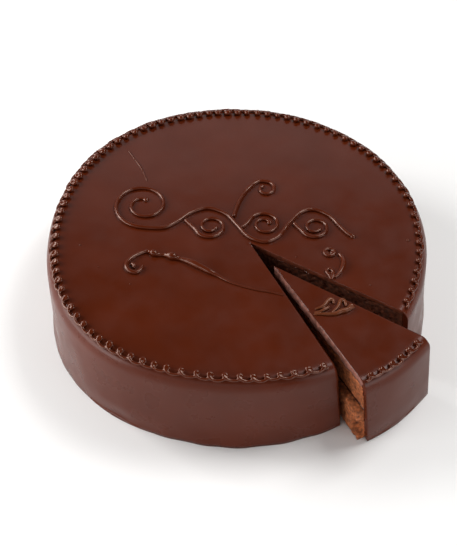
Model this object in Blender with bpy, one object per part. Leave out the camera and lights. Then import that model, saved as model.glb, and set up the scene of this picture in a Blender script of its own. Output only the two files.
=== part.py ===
"""Round chocolate cake with a poured glaze, a piped shell border and scrollwork, and one slice drawn out.

Lengths are in metres. The origin is the centre of the cake's round on its flat base, +Z is up, +X runs along
the scrollwork and -Y points at whoever reads it. The slice stands in its notch, pulled outwards and a little
askew. Touching pieces keep a small gap, so that each one is a closed body of its own.
"""

import math

import bmesh
import bpy
from mathutils import Vector

MM = 0.001
GAP = 0.3 * MM

# The round cake: a 24 cm round under a poured glaze. It baked a little taller at -X and -Y, so its top slopes.
CAKE_RADIUS = 120 * MM
CAKE_HEIGHT = 59 * MM
TOP_SLOPE = Vector((-0.031, -0.017))
ROUND_STEPS = 80
SHOULDER_INSET = 5 * MM
SHOULDER_DROP = 9 * MM
SHOULDER_STEPS = 4
WALL_BULGE = 2.0 * MM
FOOT_BULGE = 2.8 * MM
GLAZE_SIDE = 3.2 * MM
SPONGE_RADIUS = CAKE_RADIUS + WALL_BULGE - GLAZE_SIDE
GLAZE_TOP_EDGE = 3.0 * MM
GLAZE_TOP_CENTRE = 4.6 * MM

# The round isn't quite true: (lobes, cosine share, sine share) of its radius.
OUTLINE_LOBES = ((3, 0.002, -0.005), (4, -0.011, 0.004), (5, 0.003, 0.002))

# Sponge, jam and sponge, from the base up.
JAM_BOTTOM = 28.6 * MM
JAM_THICKNESS = 1.8 * MM

# The notch in the cake and the slice that came out of it: where each wedge's point is on top, and which way its
# two sides run, in degrees from +X. The knife leaned, so a cut's foot lies a little off its top.
NOTCH_POINT = Vector((8.7 * MM, -6.8 * MM))
NOTCH_SIDES = (-64.4, -32.5)
SLICE_POINT = Vector((23.1 * MM, -26.6 * MM))
SLICE_SIDES = (-62.3, -33.4)
SLICE_CENTRE = Vector((17.2 * MM, -11.7 * MM))
# The slice's lower sponge slumped a little past its left cut.
SLUMP_SIDES = (-65.2, -33.4)
KNIFE_LEAN = Vector((3.7 * MM, 1.6 * MM))
WEDGE_REACH = 200 * MM
WEDGE_BOTTOM = -10 * MM
WEDGE_TOP = 80 * MM

# The border: a row of shells, each a fat bulb with a tail that sweeps out to the next one.
SHELL_RING_RADIUS = 116.0 * MM
SHELL_PITCH = 7.6 * MM
SHELL_BULB_RADIUS = 2.5 * MM
# One shell along its pitch: (share of the pitch, share of the bulb's radius, how far its middle sways outwards).
SHELL_SHAPE = ((0.0, 0.45, 0.7 * MM), (0.18, 0.9, -0.2 * MM), (0.45, 1.0, -0.6 * MM), (0.75, 0.72, 0.2 * MM))
BORDER_START = -31.4
BORDER_END = 296.3
SLICE_BORDER_START = -61.6
SLICE_BORDER_END = -39.4

# Piped strokes, a round thread of glaze each.
THREAD_RADIUS = 1.25 * MM
THREAD_STEP = 3.6 * MM
FINE_STEP = 2.0 * MM

GLAZE_COLOUR = (0.065, 0.019, 0.010, 1.0)
PIPING_COLOUR = (0.085, 0.028, 0.016, 1.0)
SPONGE_COLOUR = (0.130, 0.048, 0.022, 1.0)
JAM_COLOUR = (0.090, 0.022, 0.006, 1.0)


def clear_scene():
    for obj in list(bpy.data.objects):
        bpy.data.objects.remove(obj, do_unlink=True)


def principled(name, colour, roughness):
    material = bpy.data.materials.new(name)
    material.use_nodes = True
    shader = material.node_tree.nodes["Principled BSDF"]
    shader.inputs["Base Color"].default_value = colour
    shader.inputs["Roughness"].default_value = roughness
    shader.inputs["Metallic"].default_value = 0.0
    return material


def glaze_material(name):
    return principled(name + "_glaze", GLAZE_COLOUR, 0.22)


def piping_material(name):
    return principled(name + "_piping", PIPING_COLOUR, 0.25)


def sponge_material(name):
    return principled(name + "_crumb", SPONGE_COLOUR, 0.9)


def jam_material(name):
    return principled(name + "_jam", JAM_COLOUR, 0.3)


def add_object(name, data, material):
    data.materials.append(material)
    obj = bpy.data.objects.new(name, data)
    bpy.context.scene.collection.objects.link(obj)
    return obj


def outline_factor(azimuth):
    """How far the round's edge lies from its mean radius, as a factor, at an azimuth in radians."""
    factor = 1.0
    for lobes, cosine_share, sine_share in OUTLINE_LOBES:
        factor += cosine_share * math.cos(lobes * azimuth) + sine_share * math.sin(lobes * azimuth)
    return factor


def top_height(x, y):
    """Height of the glaze's top at a place in plan."""
    return CAKE_HEIGHT + TOP_SLOPE.x * x + TOP_SLOPE.y * y


def turned_mesh(name, profile, centre):
    """A profile of (radius, height) points spun about a centre, then eased to the outline and the sloping top."""
    bm = bmesh.new()
    points = [bm.verts.new((radius, 0, height)) for radius, height in profile]
    edges = [bm.edges.new(pair) for pair in zip(points, points[1:])]
    bmesh.ops.spin(bm, geom=points + edges, cent=(0, 0, 0), axis=(0, 0, 1), angle=math.tau,
                   steps=ROUND_STEPS, use_merge=True)
    bmesh.ops.remove_doubles(bm, verts=bm.verts, dist=0.001 * MM)
    for vertex in bm.verts:
        x, y, z = vertex.co
        factor = outline_factor(math.atan2(y, x))
        height = z * top_height(centre.x + x * factor, centre.y + y * factor) / CAKE_HEIGHT
        vertex.co = (x * factor, y * factor, height)
    bmesh.ops.recalc_face_normals(bm, faces=bm.faces)
    mesh = bpy.data.meshes.new(name)
    bm.to_mesh(mesh)
    bm.free()
    mesh.shade_smooth()
    mesh.set_sharp_from_angle(angle=math.radians(40))
    return mesh


def wedge_cutter(name, point, sides):
    """A tall leaning three-cornered prism with its point at the given place on top, drawn as a guide only."""
    bm = bmesh.new()
    foot = point + KNIFE_LEAN * (1 - WEDGE_BOTTOM / CAKE_HEIGHT)
    corners = [bm.verts.new((foot.x, foot.y, WEDGE_BOTTOM))]
    for side in sides:
        angle = math.radians(side)
        corner = foot + WEDGE_REACH * Vector((math.cos(angle), math.sin(angle)))
        corners.append(bm.verts.new((corner.x, corner.y, WEDGE_BOTTOM)))
    face = bm.faces.new(corners)
    walls = bmesh.ops.extrude_face_region(bm, geom=[face])["geom"]
    raised = [item for item in walls if isinstance(item, bmesh.types.BMVert)]
    rise = WEDGE_TOP - WEDGE_BOTTOM
    lean = KNIFE_LEAN * -rise / CAKE_HEIGHT
    bmesh.ops.translate(bm, verts=raised, vec=(lean.x, lean.y, rise))
    bmesh.ops.recalc_face_normals(bm, faces=bm.faces)
    mesh = bpy.data.meshes.new(name)
    bm.to_mesh(mesh)
    bm.free()
    cutter = bpy.data.objects.new(name, mesh)
    bpy.context.scene.collection.objects.link(cutter)
    cutter.hide_render = True
    cutter.display_type = "WIRE"
    return cutter


def cut_with(obj, cutter, operation):
    cut = obj.modifiers.new("knife", "BOOLEAN")
    cut.operation = operation
    cut.solver = "EXACT"
    cut.object = cutter


def glaze_underside(radius):
    """Height of the glaze's underside over the sponge: thickest in the middle, where it pooled."""
    share = radius / SPONGE_RADIUS
    thickness = GLAZE_TOP_CENTRE + (GLAZE_TOP_EDGE - GLAZE_TOP_CENTRE) * share
    return CAKE_HEIGHT - thickness


def glaze_profile():
    """The glaze as one skin: over the top, round the shoulder, down to the foot and back up inside."""
    profile = [(0, CAKE_HEIGHT)]
    flat = CAKE_RADIUS - SHOULDER_INSET
    for step in range(SHOULDER_STEPS + 1):
        turn = math.pi / 2 * step / SHOULDER_STEPS
        profile.append((flat + (SHOULDER_INSET + WALL_BULGE) * math.sin(turn),
                        CAKE_HEIGHT - SHOULDER_DROP * (1 - math.cos(turn))))
    profile.append((CAKE_RADIUS + FOOT_BULGE, 0))
    profile.append((SPONGE_RADIUS, 0))
    profile.append((SPONGE_RADIUS, glaze_underside(SPONGE_RADIUS)))
    profile.append((0, glaze_underside(0)))
    return profile


def layer_profiles():
    """Profiles of the two sponges and the jam between them, keyed by the layer's name."""
    radius = SPONGE_RADIUS - GAP
    jam_top = JAM_BOTTOM + JAM_THICKNESS
    upper_floor = jam_top + GAP
    return {
        "sponge_lower": [(0, JAM_BOTTOM - GAP), (radius, JAM_BOTTOM - GAP), (radius, 0), (0, 0)],
        "jam_layer": [(0, jam_top), (radius, jam_top), (radius, JAM_BOTTOM), (0, JAM_BOTTOM)],
        "sponge_upper": [(0, glaze_underside(0) - GAP), (radius, glaze_underside(radius) - GAP),
                         (radius, upper_floor), (0, upper_floor)],
    }


def make_body(prefix, centre, cutter, operation, slump=None):
    """Glaze, sponges and jam of the cake or of its slice, cut by a wedge; the lower sponge may have its own."""
    pieces = {"glaze": (glaze_profile(), glaze_material)}
    for layer, profile in layer_profiles().items():
        filling = jam_material if layer == "jam_layer" else sponge_material
        pieces[layer] = (profile, filling)
    for piece, (profile, material) in pieces.items():
        name = prefix + piece
        obj = add_object(name, turned_mesh(name, profile, centre), material(name))
        obj.location = (centre.x, centre.y, 0)
        cut_with(obj, slump if slump and piece == "sponge_lower" else cutter, operation)


def thread(name, points, material):
    """A piped thread along (x, y, z, radius) points, with its ends closed."""
    curve = bpy.data.curves.new(name, "CURVE")
    curve.dimensions = "3D"
    curve.twist_mode = "Z_UP"
    curve.bevel_depth = 1.0
    curve.bevel_resolution = 1
    curve.use_fill_caps = True
    spline = curve.splines.new("POLY")
    spline.points.add(len(points) - 1)
    for spline_point, (x, y, z, radius) in zip(spline.points, points):
        spline_point.co = (x, y, z, 1)
        spline_point.radius = radius
    spline.use_smooth = True
    return add_object(name, curve, material)


def make_border(name, centre, start, end):
    """Shells piped round a stretch of the rim, between two azimuths in degrees."""
    stretch = math.radians(end - start)
    count = round(stretch * SHELL_RING_RADIUS / SHELL_PITCH)
    stations = [(shell + share, size, sway) for shell in range(count) for share, size, sway in SHELL_SHAPE]
    stations.append((count, *SHELL_SHAPE[0][1:]))
    points = []
    for shell, size, sway in stations:
        azimuth = math.radians(start) + stretch * shell / count
        radius = SHELL_BULB_RADIUS * size
        ring = SHELL_RING_RADIUS * outline_factor(azimuth) + sway
        place = centre + ring * Vector((math.cos(azimuth), math.sin(azimuth)))
        points.append((place.x, place.y, top_height(place.x, place.y) + GAP + radius, radius))
    thread(name, points, piping_material(name))


def spline_through(stations, step):
    """Evenly spaced points on a smooth curve through stations of (x, y, radius)."""
    padded = [stations[0]] + stations + [stations[-1]]
    samples = []
    for first, start, end, last in zip(padded, padded[1:], padded[2:], padded[3:]):
        length = math.dist(start[:2], end[:2])
        count = max(1, round(length / step))
        for index in range(count):
            t = index / count
            weights = (-0.5 * t + t * t - 0.5 * t ** 3, 1 - 2.5 * t * t + 1.5 * t ** 3,
                       0.5 * t + 2 * t * t - 1.5 * t ** 3, -0.5 * t * t + 0.5 * t ** 3)
            quad = (first, start, end, last)
            samples.append(tuple(sum(w * p[axis] for w, p in zip(weights, quad)) for axis in range(3)))
    samples.append(stations[-1])
    return samples


def make_stroke(name, stations, step=THREAD_STEP):
    """A stroke piped flat on the glaze through (x, y, radius) stations, given in millimetres."""
    in_metres = [(x * MM, y * MM, radius * MM) for x, y, radius in stations]
    points = [(x, y, top_height(x, y) + GAP + radius, radius) for x, y, radius in spline_through(in_metres, step)]
    thread(name, points, piping_material(name))


def scroll(centre, outer, inner, start, turns, count):
    """Stations of a flat spiral, in millimetres, from its outer end inwards; turns below zero run clockwise."""
    stations = []
    thread_radius = THREAD_RADIUS / MM
    for index in range(count + 1):
        share = index / count
        angle = math.radians(start) + math.tau * turns * share
        reach = outer + (inner - outer) * share
        taper = 1.0 - 0.25 * share
        stations.append((centre[0] + reach * math.cos(angle), centre[1] + reach * math.sin(angle),
                         thread_radius * taper))
    return stations


def wave(points):
    """Stations of full thread width through plan points in millimetres."""
    return [(x, y, THREAD_RADIUS / MM) for x, y in points]


def make_vine():
    """The centre ornament: a waved stem that grows out of a large scroll, with a scroll in each bend."""
    volute = scroll((-59, 27), 20, 5, -90, -1.55, 22)
    stem = wave([(-46, 6.5), (-37, 12), (-28, 20), (-17, 23.5), (-6, 18), (1, 8), (8, -2), (18, -6.5),
                 (27, -2), (34, 9), (42, 19), (51, 21.5), (60, 16), (66, 7), (71, 0), (74, -2)])
    make_stroke("vine_stem", volute[::-1] + stem)
    make_stroke("vine_scroll_left", wave([(-32, 13)]) + scroll((-16, 7.5), 10.5, 3.5, -170, 1.4, 14))
    make_stroke("vine_scroll_middle", wave([(4.2, 6)]) + scroll((18.5, 9), 10.5, 3.5, 170, -1.4, 14))
    make_stroke("vine_scroll_right", wave([(37.3, 9.2)]) + scroll((50.5, 6), 9.5, 3.5, -165, 1.35, 14))
    make_stroke("vine_tendril", wave([(-1.2, 15.5), (2, 27), (7, 38), (14, 46.5)])
                + scroll((20, 41), 7, 3, 100, -0.9, 8))


def make_left_flourish():
    """A hooked scroll, two lumps and a leaf that draws out into a fine line ending at the notch."""
    make_stroke("flourish_stem", [
        (-58.3, -25.8, 1.0), (-59.6, -29.4, 1.2), (-62.8, -31.8, 1.3), (-66.8, -30.1, 1.4), (-68.8, -26.3, 1.5),
        (-67.5, -22.0, 1.4), (-63.6, -17.9, 1.3), (-58.0, -14.4, 1.2), (-54.6, -14.2, 1.2),
        (-51.8, -16.1, 2.2), (-48.6, -17.0, 1.3), (-44.9, -17.1, 1.3), (-40.3, -18.9, 2.6),
        (-36.4, -20.2, 1.4), (-32.4, -21.7, 1.8), (-25.2, -26.0, 2.2), (-18.0, -30.9, 1.9),
        (-12.6, -34.4, 1.2), (-4.5, -40.0, 0.8), (7.7, -45.1, 0.7), (19.9, -48.5, 0.6), (28.0, -50.9, 0.6),
    ], FINE_STEP)
    make_stroke("flourish_hook", [(-65.3, -24.5, 1.3), (-63.6, -26.0, 1.4), (-64.2, -28.0, 0.8)], FINE_STEP)


def make_right_flourish():
    """A knob of piping, a bowed stroke that leaves it, and a small drop inside the bow."""
    knob = [(58.3 + 2.9 * math.cos(math.radians(angle)), -16.0 + 3.1 * math.sin(math.radians(angle)), 1.9)
            for angle in (200, 120, 40, -40, -110)]
    make_stroke("knob", knob, FINE_STEP)
    make_stroke("bow", [(64.9, -17.6, 1.2), (66.3, -21.5, 1.6), (66.4, -26.0, 1.8), (64.4, -32.0, 1.6),
                        (60.8, -36.6, 0.8)], FINE_STEP)
    make_stroke("drop", [(55.6, -32.2, 1.4), (56.9, -30.2, 1.5), (58.6, -31.4, 1.6), (57.8, -34.8, 0.9)],
                FINE_STEP)


def make_slice_leaf():
    """Leaf strokes that fan out from the slice's cut edge: the far end of the left flourish."""
    make_stroke("leaf_upper", [(47.2, -62.8, 0.7), (51.1, -61.0, 1.1), (53.0, -59.0, 1.3), (55.0, -56.3, 1.3),
                               (56.7, -54.9, 1.2), (57.8, -56.6, 0.9)], FINE_STEP)
    make_stroke("leaf_middle", [(57.9, -63.9, 0.8), (60.6, -61.2, 1.1), (62.0, -58.2, 1.2), (62.8, -56.0, 1.0),
                                (64.3, -55.6, 1.0), (65.4, -57.2, 1.0), (65.6, -59.6, 0.9)], FINE_STEP)
    make_stroke("leaf_lower", [(46.4, -66.6, 0.7), (50.5, -66.9, 0.9), (55.6, -67.2, 1.1), (59.3, -66.8, 1.3),
                               (62.4, -65.3, 1.4), (65.5, -64.3, 1.5), (68.0, -62.9, 1.4),
                               (70.2, -61.6, 1.0)], FINE_STEP)


def main():
    clear_scene()
    notch = wedge_cutter("notch_cutter", NOTCH_POINT, NOTCH_SIDES)
    slice_wedge = wedge_cutter("slice_cutter", SLICE_POINT, SLICE_SIDES)
    make_body("", Vector((0, 0)), notch, "DIFFERENCE")
    slump_wedge = wedge_cutter("slump_cutter", SLICE_POINT, SLUMP_SIDES)
    make_body("slice_", SLICE_CENTRE, slice_wedge, "INTERSECT", slump_wedge)
    make_border("shell_border", Vector((0, 0)), BORDER_START, BORDER_END)
    make_border("slice_shell_border", SLICE_CENTRE, SLICE_BORDER_START, SLICE_BORDER_END)
    make_vine()
    make_left_flourish()
    make_right_flourish()
    make_slice_leaf()


main()
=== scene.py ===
"""Round chocolate torte under a poured glaze, piped with a border and scrollwork, one slice drawn out.

Lengths are in metres. The origin is the centre of the round on its flat base, +Z is up, +X runs along the
scrollwork and -Y points at whoever reads it.
"""

import math
from collections import namedtuple
from random import Random

import bmesh
import bpy
from mathutils import Matrix, Vector, noise


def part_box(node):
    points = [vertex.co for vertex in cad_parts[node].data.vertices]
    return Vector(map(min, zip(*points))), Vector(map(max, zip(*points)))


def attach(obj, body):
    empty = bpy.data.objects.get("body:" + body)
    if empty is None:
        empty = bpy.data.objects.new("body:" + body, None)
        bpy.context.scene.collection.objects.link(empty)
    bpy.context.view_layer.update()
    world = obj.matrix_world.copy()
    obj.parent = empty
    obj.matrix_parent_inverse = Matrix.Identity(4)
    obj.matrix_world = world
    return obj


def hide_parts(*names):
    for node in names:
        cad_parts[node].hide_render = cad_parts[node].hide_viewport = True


bl_info = {
    "name": "Glazed Torte",
    "version": (1, 0, 0),
    "blender": (4, 5, 0),
    "location": "View3D > Sidebar > Torte",
    "description": "A glazed chocolate torte with piped scrollwork and one slice drawn out of its notch",
    "category": "Object",
}

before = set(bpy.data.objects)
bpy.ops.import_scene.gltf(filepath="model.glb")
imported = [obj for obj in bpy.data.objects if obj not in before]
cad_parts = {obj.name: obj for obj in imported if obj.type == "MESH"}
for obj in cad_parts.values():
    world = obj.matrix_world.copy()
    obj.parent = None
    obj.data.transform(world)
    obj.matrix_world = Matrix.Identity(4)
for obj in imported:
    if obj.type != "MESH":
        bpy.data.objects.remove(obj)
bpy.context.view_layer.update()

MM = 0.001
GAP = 0.3 * MM
BODY = "root"

# The round isn't quite true: (lobes, cosine share, sine share) of its radius.
OUTLINE_LOBES = ((3, 0.002, -0.005), (4, -0.011, 0.004), (5, 0.003, 0.002))
# How much the top rises for each metre along X and along Y.
TOP_SLOPE = Vector((-0.031, -0.017))
# How far a wedge's point has moved over by the time the knife reaches the base.
KNIFE_LEAN = Vector((3.7 * MM, 1.6 * MM))

# A fan is a round seen from the point of a wedge cut in it: its middle, the wedge's point on top, and the
# degrees it starts at and sweeps through, counter-clockwise.
Fan = namedtuple("Fan", "centre point start sweep")
CAKE = Fan(Vector((0.0, 0.0)), Vector((8.7 * MM, -6.8 * MM)), -32.5, 328.1)
SLICE = Fan(Vector((17.2 * MM, -11.7 * MM)), Vector((23.1 * MM, -26.6 * MM)), -62.3, 28.9)
SLUMPED = Fan(SLICE.centre, SLICE.point, -65.2, 31.8)


def outline_factor(azimuth):
    """How far the round's edge lies from its mean radius, as a factor, at an azimuth in radians."""
    factor = 1.0
    for lobes, cosine_share, sine_share in OUTLINE_LOBES:
        factor += cosine_share * math.cos(lobes * azimuth) + sine_share * math.sin(lobes * azimuth)
    return factor


def top_height(height, x, y):
    """Height of the glaze's top at a place in plan, for a cake of that height in the middle."""
    return height + TOP_SLOPE.x * x + TOP_SLOPE.y * y


def smooth(low, high, value):
    """0 below low, 1 above high and a soft step between."""
    share = min(1.0, max(0.0, (value - low) / (high - low)))
    return share * share * (3 - 2 * share)


def waves(place, size, seed=0.0):
    """Soft noise from -1 to 1 with lumps of that size, at a place in metres."""
    return noise.noise(Vector(place) / size + Vector((seed, 0.37 * seed, -0.71 * seed)))


class CakeSizes(bpy.types.PropertyGroup):
    """Sizes of the baked and glazed round."""

    radius: bpy.props.FloatProperty(
        name="Radius", description="Mean radius of the glazed round", default=120 * MM, unit="LENGTH")
    height: bpy.props.FloatProperty(
        name="Height", description="Height of the glazed round in the middle", default=59 * MM,
        unit="LENGTH")
    shoulder_inset: bpy.props.FloatProperty(
        name="Shoulder Inset", description="How far inside the mean radius the glaze starts to turn down",
        default=5 * MM, unit="LENGTH")
    shoulder_drop: bpy.props.FloatProperty(
        name="Shoulder Drop", description="How far below the top the glaze has turned into the side",
        default=9 * MM, unit="LENGTH")
    wall_bulge: bpy.props.FloatProperty(
        name="Wall Bulge", description="How far the side stands out past the mean radius near the top",
        default=2.0 * MM, unit="LENGTH")
    foot_bulge: bpy.props.FloatProperty(
        name="Foot Bulge", description="How far the side stands out past the mean radius at its foot",
        default=2.8 * MM, unit="LENGTH")
    glaze_side: bpy.props.FloatProperty(
        name="Side Glaze", description="Thickness of the glaze on the side", default=3.2 * MM,
        unit="LENGTH")
    glaze_edge: bpy.props.FloatProperty(
        name="Edge Glaze", description="Thickness of the glaze on top near the rim", default=3.0 * MM,
        unit="LENGTH")
    glaze_middle: bpy.props.FloatProperty(
        name="Middle Glaze", description="Thickness of the glaze on top in the middle", default=4.6 * MM,
        unit="LENGTH")
    jam_bottom: bpy.props.FloatProperty(
        name="Jam Height", description="Height of the jam's underside", default=28.6 * MM, unit="LENGTH")
    jam_thickness: bpy.props.FloatProperty(
        name="Jam Thickness", description="Thickness of the jam", default=1.8 * MM, unit="LENGTH")


class PipingSizes(bpy.types.PropertyGroup):
    """Sizes of the piped glaze."""

    thread: bpy.props.FloatProperty(
        name="Thread", description="Radius of a piped thread", default=1.35 * MM, unit="LENGTH")
    ring: bpy.props.FloatProperty(
        name="Border Radius", description="Radius of the border's middle line", default=115 * MM,
        unit="LENGTH")
    loop_length: bpy.props.FloatProperty(
        name="Loop Length", description="How far a loop swings back along the border", default=2.7 * MM,
        unit="LENGTH")
    loop_width: bpy.props.FloatProperty(
        name="Loop Width", description="How far a loop swings across the border", default=1.75 * MM,
        unit="LENGTH")
    border_grain: bpy.props.FloatProperty(
        name="Border Grain", description="Fineness of the border's fused skin", default=0.4 * MM,
        unit="LENGTH")
    stroke_grain: bpy.props.FloatProperty(
        name="Stroke Grain", description="Fineness of the strokes' fused skin", default=0.3 * MM,
        unit="LENGTH")


COLOUR = {"subtype": "COLOR", "size": 3, "min": 0, "max": 1}


class Finishes(bpy.types.PropertyGroup):
    """Colours of the torte's finishes."""

    glaze: bpy.props.FloatVectorProperty(
        name="Glaze", description="Colour of the poured glaze",
        default=(0.0615, 0.0088, 0.0017), **COLOUR)
    side: bpy.props.FloatVectorProperty(
        name="Side Glaze", description="Colour of the glaze on the side",
        default=(0.074, 0.0128, 0.0042), **COLOUR)
    glaze_cut: bpy.props.FloatVectorProperty(
        name="Cut Glaze", description="Colour of the glaze where the knife broke it",
        default=(0.090, 0.020, 0.008), **COLOUR)
    # Painted shade: the cake's crumb is much darker than the slice's identical sponge, to stand for the
    # shade deep in the narrow notch.
    crumb: bpy.props.FloatVectorProperty(
        name="Crumb", description="Colour of the cake's sponge",
        default=(0.085, 0.024, 0.009), **COLOUR)
    # Painted light: a lit copy of the cake's sponge, far paler and more orange, for the light falling on
    # the slice's cut end.
    slice_lit_crumb: bpy.props.FloatVectorProperty(
        name="Slice Crumb", description="Colour of the slice's drier sponge",
        default=(0.300, 0.085, 0.026), **COLOUR)
    # Painted light: a much paler, pinker copy of the broken glaze, for the window light catching the
    # slice's cut edge.
    slice_lit_cut: bpy.props.FloatVectorProperty(
        name="Slice's Cut Glaze", description="Colour of the slice's glaze where the knife broke it",
        default=(0.215, 0.085, 0.062), **COLOUR)
    leaf: bpy.props.FloatVectorProperty(
        name="Leaf", description="Colour of the thinly piped leaf",
        default=(0.090, 0.022, 0.007), **COLOUR)
    jam: bpy.props.FloatVectorProperty(
        name="Jam", description="Colour of the jam",
        default=(0.060, 0.010, 0.004), **COLOUR)
    table: bpy.props.FloatVectorProperty(
        name="Table", description="Colour of the table top",
        default=(0.80, 0.79, 0.78), **COLOUR)


class StageSettings(bpy.types.PropertyGroup):
    """The camera and the lights."""

    distance: bpy.props.FloatProperty(
        name="Distance", description="From the camera to the point it looks at", default=0.939,
        unit="LENGTH")
    elevation: bpy.props.FloatProperty(
        name="Elevation", description="Angle at which the camera looks down", default=math.radians(49.04),
        subtype="ANGLE")
    azimuth: bpy.props.FloatProperty(
        name="Azimuth", description="Angle by which the camera looks to the side", subtype="ANGLE",
        default=math.radians(0.492))
    roll: bpy.props.FloatProperty(
        name="Roll", description="Angle by which the camera is tipped", default=math.radians(-1.987),
        subtype="ANGLE")
    lens: bpy.props.FloatProperty(
        name="Lens", description="Focal length for a 36 mm frame", default=99.83, subtype="DISTANCE_CAMERA")
    key: bpy.props.FloatProperty(
        name="Key", description="Power of the window light", default=9.0, subtype="POWER")
    overhead: bpy.props.FloatProperty(
        name="Overhead", description="Power of the light above", default=8.6, subtype="POWER")
    fill: bpy.props.FloatProperty(
        name="Fill", description="Power shared out to the low panels in front, left and right", default=4.0,
        subtype="POWER")
    sheen: bpy.props.FloatProperty(
        name="Sheen", description="Power of the low panel behind", default=1.6, subtype="POWER")


class TorteSettings(bpy.types.PropertyGroup):
    """All that can be changed on the torte and its stage."""

    cake: bpy.props.PointerProperty(type=CakeSizes, name="Cake", description="The baked and glazed round")
    piping: bpy.props.PointerProperty(type=PipingSizes, name="Piping", description="The piped glaze")
    finish: bpy.props.PointerProperty(type=Finishes, name="Finishes", description="Colours")
    stage: bpy.props.PointerProperty(type=StageSettings, name="Stage", description="Camera and lights")


def principled(name, colour, roughness, **sockets):
    """A material with its Principled shader's plain values set, and that shader."""
    material = bpy.data.materials.new(name)
    material.use_nodes = True
    shader = material.node_tree.nodes["Principled BSDF"]
    shader.inputs["Base Color"].default_value = (*colour, 1.0)
    shader.inputs["Roughness"].default_value = roughness
    shader.inputs["Metallic"].default_value = 0.0
    for socket, value in sockets.items():
        shader.inputs[socket.replace("_", " ")].default_value = value
    return material, shader


def noise_node(material, scale, detail=3.0):
    """Noise in the object's own coordinates, with a scale in lumps per metre."""
    nodes, links = material.node_tree.nodes, material.node_tree.links
    place = nodes.new("ShaderNodeTexCoord")
    pattern = nodes.new("ShaderNodeTexNoise")
    pattern.inputs["Scale"].default_value = scale
    pattern.inputs["Detail"].default_value = detail
    links.new(place.outputs["Object"], pattern.inputs["Vector"])
    return pattern.outputs["Fac"]


def ramp_node(material, source, stops):
    """A colour ramp over a pattern; stops are (share, colour)."""
    ramp = material.node_tree.nodes.new("ShaderNodeValToRGB")
    elements = ramp.color_ramp.elements
    while len(elements) < len(stops):
        elements.new(0.5)
    for element, (share, colour) in zip(elements, stops):
        element.position = share
        element.color = (*colour, 1.0)
    material.node_tree.links.new(source, ramp.inputs["Fac"])
    return ramp.outputs["Color"]


# The share of a noise pattern's range that most of it lies in.
PATTERN_LOW, PATTERN_HIGH = 0.3, 0.7


def range_node(material, source, low, high):
    """A pattern's middle stretched to run from low to high."""
    scale = material.node_tree.nodes.new("ShaderNodeMapRange")
    scale.inputs["From Min"].default_value = PATTERN_LOW
    scale.inputs["From Max"].default_value = PATTERN_HIGH
    scale.inputs["To Min"].default_value = low
    scale.inputs["To Max"].default_value = high
    material.node_tree.links.new(source, scale.inputs["Value"])
    return scale.outputs["Result"]


def bump_node(material, source, strength, distance, below=None):
    """A bump from a pattern, on top of another bump if one is given."""
    bump = material.node_tree.nodes.new("ShaderNodeBump")
    bump.inputs["Strength"].default_value = strength
    bump.inputs["Distance"].default_value = distance
    material.node_tree.links.new(source, bump.inputs["Height"])
    if below is not None:
        material.node_tree.links.new(below, bump.inputs["Normal"])
    return bump.outputs["Normal"]


# Tints of a finish's highlights: none, and the warm one of the piping.
PLAIN = (1.0, 1.0, 1.0, 1.0)
WARM = (1.0, 0.76, 0.64, 1.0)


def shaded(colour, factor):
    """A colour made darker or lighter."""
    return tuple(channel * factor for channel in colour)


def wired(material, shader, tone, roughness, normal):
    """A material whose shader takes its colour, roughness and normal from patterns."""
    links = material.node_tree.links
    links.new(tone, shader.inputs["Base Color"])
    links.new(roughness, shader.inputs["Roughness"])
    links.new(normal, shader.inputs["Normal"])
    return material


def glaze_finish(name, colour, low=0.17, high=0.27, grain=0.25, gloss=0.5, tint=PLAIN):
    """Set chocolate glaze, a little cloudy, with faint ripples. Its roughness runs from low to high."""
    material, shader = principled(name, colour, 0.22, IOR=1.46, Specular_IOR_Level=gloss,
                                  Specular_Tint=tint)
    clouds = ((0.30, shaded(colour, 0.90)), (0.70, shaded(colour, 1.12)))
    tone = ramp_node(material, noise_node(material, 26.0, 4.0), clouds)
    roughness = range_node(material, noise_node(material, 60.0, 5.0), low, high)
    ripples = bump_node(material, noise_node(material, 90.0, 2.0), grain, 0.2 * MM)
    pits = bump_node(material, noise_node(material, 900.0, 2.0), grain * 0.3, 0.05 * MM, ripples)
    return wired(material, shader, tone, roughness, pits)


def piping_finish(name, colour, grain, low=0.18, high=0.28, gloss=0.5):
    """Piped glaze, with warm highlights."""
    return glaze_finish(name, colour, low, high, grain, gloss, WARM)


def cut_glaze_finish(name, colour):
    """Glaze where the knife broke it: paler, dull and crumbly."""
    material, shader = principled(name, colour, 0.45, IOR=1.45)
    smears = ((0.32, shaded(colour, 0.45)), (0.55, colour), (0.75, shaded(colour, 1.5)))
    tone = ramp_node(material, noise_node(material, 380.0, 4.0), smears)
    roughness = range_node(material, noise_node(material, 500.0), 0.32, 0.55)
    crumbs = bump_node(material, noise_node(material, 700.0, 4.0), 0.6, 0.4 * MM)
    return wired(material, shader, tone, roughness, crumbs)


def crumb_finish(name, colour):
    """Chocolate sponge: dull, mottled, with a fine crumb."""
    material, shader = principled(name, colour, 0.85, IOR=1.4)
    mottle = ((0.30, shaded(colour, 0.30)), (0.50, shaded(colour, 0.95)), (0.72, shaded(colour, 1.9)))
    tone = ramp_node(material, noise_node(material, 420.0, 6.0), mottle)
    roughness = range_node(material, noise_node(material, 800.0), 0.6, 0.95)
    coarse = bump_node(material, noise_node(material, 550.0, 5.0), 0.8, 0.6 * MM)
    fine = bump_node(material, noise_node(material, 1900.0, 3.0), 0.6, 0.2 * MM, coarse)
    return wired(material, shader, tone, roughness, fine)


def jam_finish(name, colour):
    """Apricot jam soaked dark by the crumb, with a wet shine."""
    material, shader = principled(name, colour, 0.18, IOR=1.45)
    streaks = ((0.35, shaded(colour, 0.5)), (0.60, colour), (0.78, (0.32, 0.10, 0.02)))
    tone = ramp_node(material, noise_node(material, 300.0, 4.0), streaks)
    roughness = range_node(material, noise_node(material, 500.0), 0.10, 0.35)
    drops = bump_node(material, noise_node(material, 600.0, 3.0), 0.5, 0.4 * MM)
    return wired(material, shader, tone, roughness, drops)


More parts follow.
